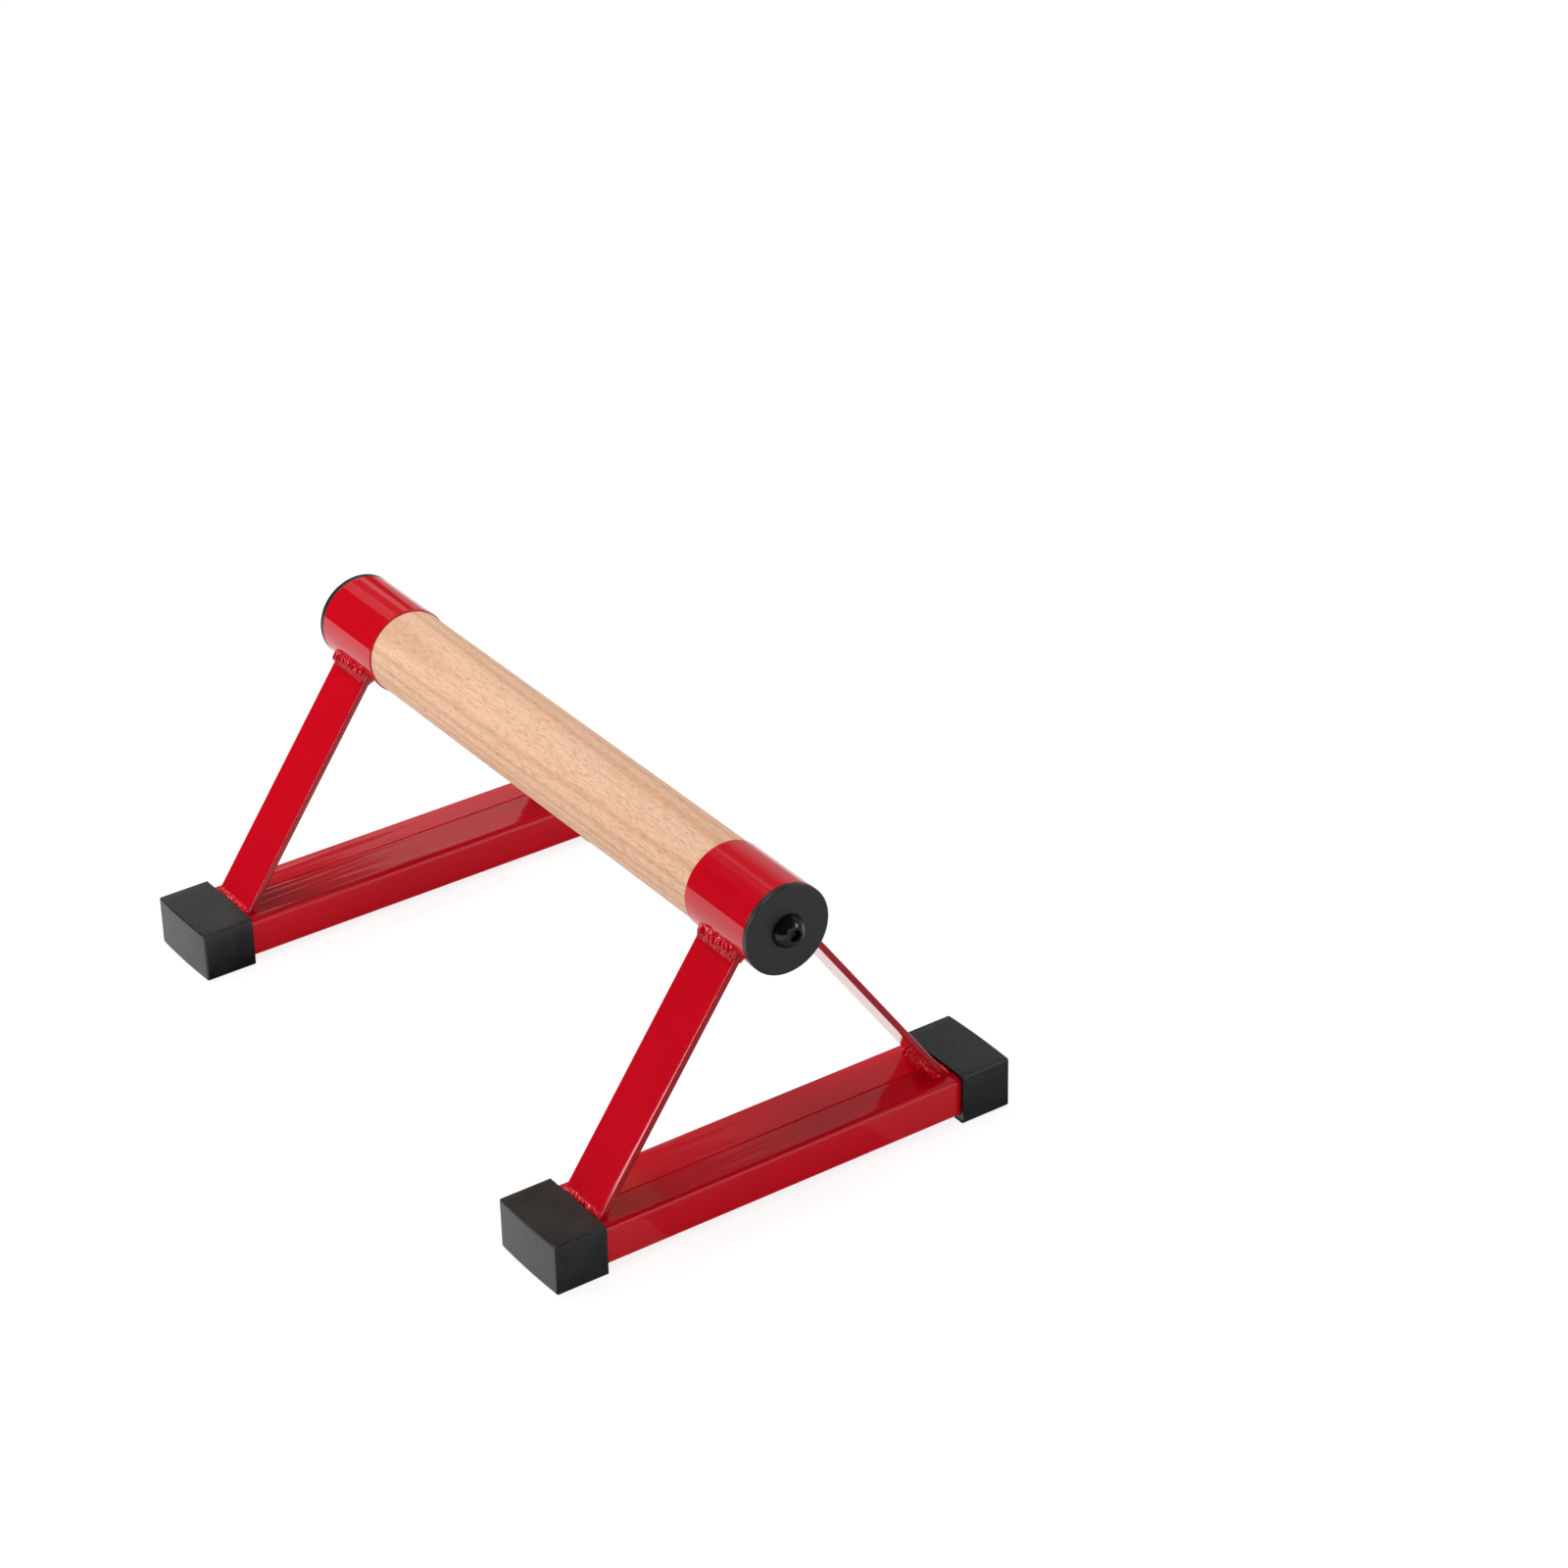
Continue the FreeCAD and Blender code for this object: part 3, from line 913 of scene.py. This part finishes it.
    def _build_beads(self, side: Side, name: str, node: str, beads: Sequence[Bead]) -> None:
        """Lay the outer and inner beads of one joint.

        Args:
            side: The side of the frame that the joint is on.
            name: The name of the piece that they make.
            node: The solid that it stands for.
            beads: The beads.
        """
        shells = []
        for index, bead in enumerate(beads):
            seed = (self.bead_apart * index + self.end_apart * self.end.value + self.side_apart * side.value
                    + self.name_apart * len(node))
            shells.append(bead.shell(self.end, side, self.frame_x, seed))
        add_piece(name, shells, GlossEnamel(Steel.WELD_BEAD), "frame", node, sharp_deg=70.0)

    def _foot_beads(self) -> list[Bead]:
        """Place the beads between a leg and the base tube.

        Returns:
            The outer and the inner bead.
        """
        leg = self.leg
        outer = (leg.foot, leg.foot_height)
        inner = (leg.foot_inner, leg.foot_height)
        rise, spread, weld = self.foot_outer_rise, self.foot_outer_spread, self.foot_inner_weld
        return [
            Bead(outer, shift(outer, leg.up, rise), shift(outer, (1, 0), spread)),
            Bead(inner, shift(inner, leg.up, weld), shift(inner, (-1, 0), weld)),
        ]

    def _socket_beads(self) -> list[Bead]:
        """Place the beads between a leg and the socket.

        Returns:
            The outer and the inner bead.
        """
        leg = self.leg
        radius = leg.socket_radius
        outer, inner = (0.0, self.socket_outer_weld, 1), (leg.thickness, self.socket_inner_weld, -1)
        beads = []
        for depth, size, turn in (outer, inner):
            foot = shift((leg.foot, leg.foot_height), leg.outward, -depth)
            corner = shift(foot, leg.up, leg.cope(depth))
            angle = math.atan2(corner[1] - leg.axis_height, corner[0]) + turn * size / radius
            far = shift((0.0, leg.axis_height), (math.cos(angle), math.sin(angle)), radius)
            beads.append(Bead(corner, shift(corner, leg.up, -size), far))
        return beads


@dataclass
class FootCap:
    """A rubber boot over a tube's end.

    Its rings are drawn in from the full outline, or from the cavity's. For each millimetre that a ring is
    drawn in, its corners lose the fade from their rounding, down to the least one.
    """

    end: End
    side: Side
    frame_x: float = FRAME_X
    width: float = 45.0
    height: float = 25.0
    edge_round: float = 1.0
    edge_fade: float = 0.5
    edge_least: float = 0.3
    end_round: float = 0.9
    lip_bevel: float = 0.5
    bore_width: float = 40.2
    bore_height: float = 20.2
    bore_round: float = 2.5
    bore_fade: float = 0.25
    bore_least: float = 0.2
    mouth: float = 94.7
    tube_end: float = 118.0
    end_wall: float = 2.5
    crown: float = 0.6
    cavity_insets: tuple[float, ...] = (9.0, 4.0, 0.0)
    face_insets: tuple[float, ...] = (2.6, 4.6, 7.0, 9.5, 12.0)
    round_steps: int = 6
    runs: tuple[int, int] = (12, 4)

    def build(self) -> None:
        """Mould the cap: a boot with a bevelled mouth, eased edges and a crowned end."""
        place = f"{self.end.label}_{self.side.label}"
        add_piece(f"{place}_rubber_boot", [Shell(self._rings())], RUBBER, "frame", f"{place}_foot_cap")

    def _rings(self) -> list[Ring]:
        """Lay out the cap's skin.

        Returns:
            The rings from the bottom of the cavity, out over the mouth, to the middle of the end face.
        """
        end = self.tube_end + self.end_wall
        ease = self.end_round
        quarter = [math.pi / 2 * step / self.round_steps for step in range(self.round_steps + 1)]
        rings = [self._bore_ring(self.tube_end, inset) for inset in self.cavity_insets]
        rings.append(self._bore_ring(self.mouth + self.lip_bevel, 0.0))
        for angle in quarter:
            bevel = self.lip_bevel * (1 - math.sin(angle))
            rings.append(self._ring(self.mouth + bevel, bevel, 0.0))
        for angle in quarter:
            y = end - ease + ease * math.sin(angle)
            rings.append(self._ring(y, ease * (1 - math.cos(angle)), self.crown))
        rings += [self._ring(end, inset, self.crown) for inset in self.face_insets]
        return rings

    def _ring(self, y: float, inset: float, crown: float) -> Ring:
        """Draw a ring of the outside.

        Args:
            y: How far out it lies.
            inset: How far it is drawn in.
            crown: How far its middle stands out.

        Returns:
            The ring.
        """
        radius = max(self.edge_round - self.edge_fade * inset, self.edge_least)
        outline = box_outline(self.width - 2 * inset, self.height - 2 * inset, radius, self.runs)
        return [self._point(x, y + crown * (1 - (2 * x / self.width) ** 2), z) for x, z in outline]

    def _bore_ring(self, y: float, inset: float) -> Ring:
        """Draw a ring of the cavity.

        Args:
            y: How far out it lies.
            inset: How far it is drawn in, where it closes the cavity's end.

        Returns:
            The ring.
        """
        radius = max(self.bore_round - self.bore_fade * inset, self.bore_least)
        outline = box_outline(self.bore_width - 2 * inset, self.bore_height - 2 * inset, radius, self.runs)
        return [self._point(x, y, z) for x, z in outline]

    def _point(self, x: float, y: float, z: float) -> Vector:
        """A point of the cap in the bar's frame."""
        return Vector((self.end.value * self.frame_x + x, self.side.value * y, self.height / 2 + z))


@dataclass
class EndFitting:
    """The cover disc and clamp bolt at one end of the grip."""

    end: End
    axis_height: float = AXIS_HEIGHT
    socket_end: float = 175.75
    disc_diameter: float = SOCKET_DIAMETER
    disc_thickness: float = 3.0
    disc_hole: float = 8.6
    disc_round: float = 0.6
    disc_back_round: float = 0.3
    disc_hole_round: float = 0.25
    bolt_diameter: float = 8.0
    bolt_length: float = 20.0
    tip_chamfer: float = 1.0
    pitch: float = 1.25
    thread_depth: float = 0.7
    # The flanks are this much steeper than a zigzag's and start this much lower, for flat crests and roots
    flank_slope: float = 1.3
    root_sink: float = 0.12
    head_diameter: float = 16.0
    head_height: float = 5.6
    crown_diameter: float = 8.0
    rim_ease: float = 0.3
    key_across_flats: float = 5.0
    key_depth: float = 3.0
    key_chamfer: float = 0.3
    key_cone_depth: float = 0.6
    key_cone_flats: float = 0.8
    segments: int = 96
    dome_steps: int = 16
    rows_per_pitch: int = 10

    def build(self) -> None:
        """Build the disc and the bolt."""
        label = self.end.label
        add_piece(f"{label}_cover_disc", [self._disc()], POLYPROPYLENE, f"{label}_disc", f"{label}_end_disc")
        add_piece(f"{label}_button_bolt", [self._bolt()], BLACK_OXIDE, f"{label}_bolt", f"{label}_clamp_bolt",
                  sharp_deg=30.0)

    def _disc(self) -> Shell:
        """Mould the cover disc, with a rounded front edge.

        Returns:
            The disc's skin.
        """
        inner, outer = self.socket_end, self.socket_end + self.disc_thickness
        hole, rim = self.disc_hole / 2, self.disc_diameter / 2
        corners = [(inner, hole), (inner, rim), (outer, rim), (outer, rim - MARGIN), (outer, hole + MARGIN),
                   (outer, hole)]
        radii = [0.0, self.disc_back_round, self.disc_round, 0.0, 0.0, self.disc_hole_round]
        profile = [(self.end.value * x, radius) for x, radius in eased(corners, radii, closed=True)]
        return turned(profile, self.axis_height, joined=True)

    def _bolt(self) -> Shell:
        """Turn the bolt, from its threaded tip to the bottom of its hexagon socket.

        Returns:
            The bolt's skin.
        """
        seat = self.socket_end + self.disc_thickness
        tip = seat - self.bolt_length
        top = seat + self.head_height
        floor = top - self.key_depth
        flats = self.key_across_flats / 2
        rows = round(self.bolt_length / self.pitch * self.rows_per_pitch)
        rings = [self._thread_ring(tip + self.bolt_length * row / rows, tip) for row in range(rows)]
        rings += [self._ring(x, [radius] * self.segments) for x, radius in self._dome(seat)]
        rings += [
            self._key_ring(top, flats + self.key_chamfer),
            self._key_ring(top - self.key_chamfer, flats),
            self._key_ring(floor, flats),
            self._key_ring(floor - self.key_cone_depth, self.key_cone_flats / 2),
        ]
        return Shell(rings)

    def _dome(self, seat: float) -> list[Pair]:
        """Draw the head's profile.

        Args:
            seat: Where the head sits on the disc.

        Returns:
            The (x, radius) points from the shank, out under the head and up its dome to the crown.
        """
        base, crown, rise = self.head_diameter / 2, self.crown_diameter / 2, self.head_height
        sink = (base ** 2 - crown ** 2 - rise ** 2) / (2 * rise)
        sphere = math.hypot(base, sink)
        low, high = math.asin((sink + self.rim_ease) / sphere), math.atan2(sink + rise, crown)
        profile = [(seat, self.bolt_diameter / 2), (seat, base - self.rim_ease)]
        for step in range(self.dome_steps + 1):
            angle = low + (high - low) * step / self.dome_steps
            profile.append((seat - sink + sphere * math.sin(angle), sphere * math.cos(angle)))
        return profile

    def _ring(self, x: float, radii: Sequence[float]) -> Ring:
        """Draw a ring round the bolt.

        The left bolt is the right one turned half round, so both threads are right-hand.

        Args:
            x: How far out the ring lies.
            radii: Its distances from the axis, in order round it.

        Returns:
            The ring.
        """
        ring = []
        for index, radius in enumerate(radii):
            angle = math.tau * index / self.segments
            y = self.end.value * radius * math.cos(angle)
            ring.append(Vector((self.end.value * x, y, self.axis_height + radius * math.sin(angle))))
        return ring

    def _thread_ring(self, x: float, tip: float) -> Ring:
        """Cut across the thread, whose groove winds forward with the angle.

        Args:
            x: Where the cut is.
            tip: Where the bolt's tip is.

        Returns:
            The ring.
        """
        crest = self.bolt_diameter / 2
        chamfer = crest - self.tip_chamfer + (x - tip)
        radii = []
        for index in range(self.segments):
            phase = ((x - tip) / self.pitch - index / self.segments) % 1.0
            flank = min(1.0, max(0.0, self.flank_slope * (1 - abs(2 * phase - 1)) - self.root_sink))
            radii.append(min(crest - self.thread_depth * (1 - flank), chamfer))
        return self._ring(x, radii)

    def _key_ring(self, x: float, flats: float) -> Ring:
        """Draw a hexagon round the bolt's axis.

        Args:
            x: How far out it lies.
            flats: Half its width across flats.

        Returns:
            The ring.
        """
        radii = []
        for index in range(self.segments):
            angle = math.tau * index / self.segments
            radii.append(flats / math.cos((angle % (math.pi / 3)) - math.pi / 6))
        return self._ring(x, radii)


@dataclass
class SoftBox:
    """A rectangular studio lamp, given by the brightness of its face. Cards stand in for it in the gloss."""

    name: str
    place: Triple
    width: float
    height: float
    brightness: float
    aim: Triple = (0.0, 0.0, 0.08)

    def build(self) -> None:
        """Hang the lamp."""
        lamp = bpy.data.lights.new(self.name, "AREA")
        lamp.shape = "RECTANGLE"
        lamp.size, lamp.size_y = self.width, self.height
        lamp.energy = self.brightness * math.pi * self.width * self.height
        holder = bpy.data.objects.new(self.name, lamp)
        holder.location = self.place
        holder.rotation_euler = (Vector(self.place) - Vector(self.aim)).to_track_quat("Z", "Y").to_euler()
        holder.visible_glossy = False
        bpy.context.scene.collection.objects.link(holder)


@dataclass
class Card:
    """A photographer's card that stays out of the picture and shows only in the gloss.

    It runs from one X to another, with a brightness at each, and is bent to a line of (y, z) points.
    """

    name: str
    run: Pair
    line: Sequence[Pair]
    brightness: Pair

    def build(self) -> None:
        """Stand the card up."""
        mesh = bpy.data.meshes.new(self.name)
        corners = [(x, y, z) for y, z in self.line for x in self.run]
        faces = [(2 * n, 2 * n + 1, 2 * n + 3, 2 * n + 2) for n in range(len(self.line) - 1)]
        mesh.from_pydata(corners, [], faces)
        material, tree = new_tree(f"{self.name}_board")
        place = add_node(tree, "ShaderNodeTexCoord").outputs["Object"]
        along = add_node(tree, "ShaderNodeSeparateXYZ", {"Vector": place})
        level = add_node(tree, "ShaderNodeMapRange", {
            "Value": along.outputs["X"], "From Min": self.run[0], "From Max": self.run[1],
            "To Min": self.brightness[0], "To Max": self.brightness[1]})
        glow = add_node(tree, "ShaderNodeEmission", {"Strength": level.outputs["Result"]})
        add_node(tree, "ShaderNodeOutputMaterial", {"Surface": glow.outputs["Emission"]})
        mesh.materials.append(material)
        board = bpy.data.objects.new(self.name, mesh)
        bpy.context.scene.collection.objects.link(board)
        board.visible_camera = False
        board.visible_diffuse = False
        board.visible_shadow = False


@dataclass
class Studio:
    """The floor, the surround, the lamps, the cards and the camera, laid out in metres."""

    floor_size: float = 14.0
    floor_drop: float = 0.0002
    floor_colour: str = "F2F2F2"
    floor_pale: str = "F6F6F6"
    floor_fibre_mm: float = 60.0
    floor_glow: float = 0.84
    floor_share: float = 0.3
    card_lift: float = 0.0005
    ambient: float = 0.21
    camera_place_mm: Triple = (1445.80, -873.41, 1096.50)
    camera_aim_mm: Triple = (37.75, 96.61, 111.17)
    camera_roll_deg: float = -1.163
    lens_mm: float = 98.90
    sensor_mm: float = 36.0

    def build(self) -> None:
        """Set up the studio."""
        self._build_floor()
        self._build_surround()
        for light in (*self._lamps(), *self._cards()):
            light.build()
        self._build_camera()
        bpy.context.scene.view_settings.view_transform = "Standard"

    def _lamps(self) -> list[SoftBox]:
        """List the lamps.

        Returns:
            The lamps, each by its place, its width and height and its brightness.
        """
        return [
            SoftBox("key_softbox", (-1.0, -1.7, 1.1), 1.0, 0.8, 2.8),
            SoftBox("low_softbox", (-0.8, -1.3, 0.25), 0.8, 0.4, 4.0),
            SoftBox("front_softbox", (0.55, -1.9, 1.05), 0.9, 0.35, 3.5),
            SoftBox("left_softbox", (-0.9, -0.3, 1.2), 0.6, 0.6, 7.1),
            SoftBox("top_softbox", (0.0, 0.0, 1.9), 1.0, 1.0, 2.1),
            SoftBox("rear_softbox", (0.0, 1.5, 1.1), 1.0, 0.6, 3.6),
            SoftBox("right_softbox", (1.6, 0.1, 0.3), 0.7, 0.5, 4.8),
        ]

    def _cards(self) -> list[Card]:
        """List the cards, most of which bend round the bar from the front, over the top, to the rear.

        Returns:
            The cards.
        """
        top = [(-0.215, 1.67), (0.27, 1.67)]
        rear, low_rear = [(1.2, 1.57), (1.2, 1.0)], [(1.2, 1.0), (1.2, 0.0)]
        floor = self.card_lift
        return [
            Card("front_flag", (-2.6, -0.1), [(-0.785, 0.0), (-0.785, 1.67), (-0.215, 1.67)], (0.02, 0.02)),
            Card("right_front_flag", (-0.1, 2.0), [(-0.785, 0.0), (-0.785, 1.1), (-0.7, 1.1)], (0.02, 0.02)),
            Card("top_card_left", (-2.6, -1.85), top, (0.5, 0.5)),
            Card("top_card_right", (-1.85, -0.4), top, (0.22, 0.22)),
            Card("top_strip", (-2.6, -0.4), [(0.27, 1.67), (0.5, 1.68)], (0.55, 0.55)),
            Card("rear_shade", (-2.6, -0.4), [(0.5, 1.68), (1.2, 1.57)], (0.16, 0.16)),
            Card("rear_card_left", (-2.6, -1.84), rear, (0.8, 0.62)),
            Card("rear_card_right", (-1.84, -0.4), rear, (0.34, 0.42)),
            Card("low_card_left", (-2.6, -2.15), low_rear, (0.9, 0.9)),
            Card("low_card_shade", (-2.15, -1.7), low_rear, (0.06, 0.06)),
            Card("low_card_right", (-1.7, -0.4), low_rear, (0.5, 0.6)),
            Card("right_flag", (-0.2, 2.0), [(-0.7, 1.1), (0.7, 1.1)], (0.04, 0.04)),
            Card("right_rear_card", (-0.1, 2.0), [(0.7, 1.1), (1.3, 1.1), (1.3, 0.0)], (0.4, 0.4)),
            Card("edge_card", (-0.42, -0.1), [(-0.75, 0.26), (-0.75, 0.66)], (6.5, 6.5)),
            Card("bead_spark", (-0.3, -0.02), [(-0.42, 1.0), (-0.08, 1.0)], (11.0, 11.0)),
            Card("bolt_spark", (1.05, 1.6), [(1.2, 0.68), (1.2, 1.08)], (10.0, 10.0)),
            Card("front_floor_shade", (0.1745, 0.24), [(-0.16, floor), (-0.06, floor)], (0.18, 0.65)),
            Card("middle_floor_shade", (0.1745, 0.24), [(-0.06, floor), (0.06, floor)], (0.04, 0.36)),
            Card("rear_floor_shade", (0.1745, 0.24), [(0.06, floor), (0.18, floor)], (0.15, 0.55)),
            Card("outer_floor_shade", (0.24, 0.5), [(-0.16, floor), (0.25, floor)], (0.4, 0.6)),
            Card("left_floor_shade", (-0.1335, -0.09), [(-0.12, floor), (0.16, floor)], (0.05, 0.32)),
        ]

    def _seen(self, tree: bpy.types.NodeTree) -> Socket:
        """Tell the rays that show a surface from those that carry its light.

        Args:
            tree: The surface's node tree.

        Returns:
            The socket that is 1 for rays from the camera, in gloss or through glass, and 0 for the others.
        """
        path = add_node(tree, "ShaderNodeLightPath").outputs
        either = add_node(tree, "ShaderNodeMath", {
            0: path["Is Camera Ray"], 1: path["Is Glossy Ray"]}, operation="MAXIMUM")
        return add_node(tree, "ShaderNodeMath", {
            0: either.outputs["Value"], 1: path["Is Transmission Ray"]}, operation="MAXIMUM").outputs["Value"]

    def _build_floor(self) -> None:
        """Lay the pale floor, which keeps the bar's shadow under a white sweep."""
        half = self.floor_size / 2
        mesh = bpy.data.meshes.new("studio_floor")
        corners = [(-half, -half), (half, -half), (half, half), (-half, half)]
        mesh.from_pydata([(x, y, -self.floor_drop) for x, y in corners], [], [(0, 1, 2, 3)])
        material, tree = new_tree("white_paper_sweep")
        place = add_node(tree, "ShaderNodeTexCoord").outputs["Object"]
        fibre = add_node(tree, "ShaderNodeTexNoise", {
            "Vector": place, "Scale": per_metre(self.floor_fibre_mm), "Detail": 2.0})
        colour = add_node(tree, "ShaderNodeMix", {
            0: fibre.outputs["Fac"], 6: linear(self.floor_colour), 7: linear(self.floor_pale)},
            data_type="RGBA")
        paper = add_node(tree, "ShaderNodeBsdfDiffuse", {"Color": colour.outputs[2]})
        glow = add_node(tree, "ShaderNodeEmission", {"Strength": self.floor_glow})
        shaded = add_node(tree, "ShaderNodeBsdfDiffuse", {"Color": (self.floor_share,) * 3 + (1.0,)})
        white = add_node(tree, "ShaderNodeAddShader", {
            0: shaded.outputs["BSDF"], 1: glow.outputs["Emission"]})
        surface = add_node(tree, "ShaderNodeMixShader", {
            0: self._seen(tree), 1: paper.outputs["BSDF"], 2: white.outputs["Shader"]})
        add_node(tree, "ShaderNodeOutputMaterial", {"Surface": surface.outputs["Shader"]})
        mesh.materials.append(material)
        floor = bpy.data.objects.new("studio_floor", mesh)
        bpy.context.scene.collection.objects.link(floor)

    def _build_surround(self) -> None:
        """Make the white surround, which lights the bar only at the ambient level."""
        world = bpy.data.worlds.new("white_studio")
        world.use_nodes = True
        tree = world.node_tree
        tree.nodes.clear()
        level = add_node(tree, "ShaderNodeMapRange", {
            "Value": self._seen(tree), "To Min": self.ambient, "To Max": 1.0})
        sky = add_node(tree, "ShaderNodeBackground", {
            "Color": (1.0, 1.0, 1.0, 1.0), "Strength": level.outputs["Result"]})
        add_node(tree, "ShaderNodeOutputWorld", {"Surface": sky.outputs["Background"]})
        bpy.context.scene.world = world

    def _build_camera(self) -> None:
        """Stand the camera where the picture was taken from."""
        place = Vector(self.camera_place_mm) * MM
        back = (place - Vector(self.camera_aim_mm) * MM).normalized()
        level = Vector((0.0, 0.0, 1.0)).cross(back).normalized()
        upright = back.cross(level)
        roll = math.radians(self.camera_roll_deg)
        right = level * math.cos(roll) + upright * math.sin(roll)
        up = back.cross(right)
        data = bpy.data.cameras.new("product_camera")
        data.lens = self.lens_mm
        data.sensor_width = self.sensor_mm
        camera = bpy.data.objects.new("product_camera", data)
        camera.matrix_world = Matrix.Translation(place) @ Matrix((right, up, back)).transposed().to_4x4()
        bpy.context.scene.collection.objects.link(camera)
        bpy.context.scene.camera = camera


def dress_insert(frame: dict, end: End) -> None:
    """Plate one threaded insert, whose solid is shown as it is.

    Args:
        frame: The loaded frame.
        end: The end of the grip that it is at.
    """
    insert = frame["nodes"][f"{end.label}_threaded_insert"]
    for slot in insert.material_slots:
        slot.material = BRIGHT_ZINC.material()
    LOG.info("%s: plated", insert.name)


def main() -> None:
    """Load the frame, build every piece and set up the studio."""
    logging.basicConfig(level=logging.INFO, format="%(message)s")
    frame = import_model()
    Grip().build()
    for end in End:
        EndFrame(end).build()
        for side in Side:
            FootCap(end, side).build()
        EndFitting(end).build()
        dress_insert(frame, end)
    Studio().build()


if __name__ == "__main__":
    main()
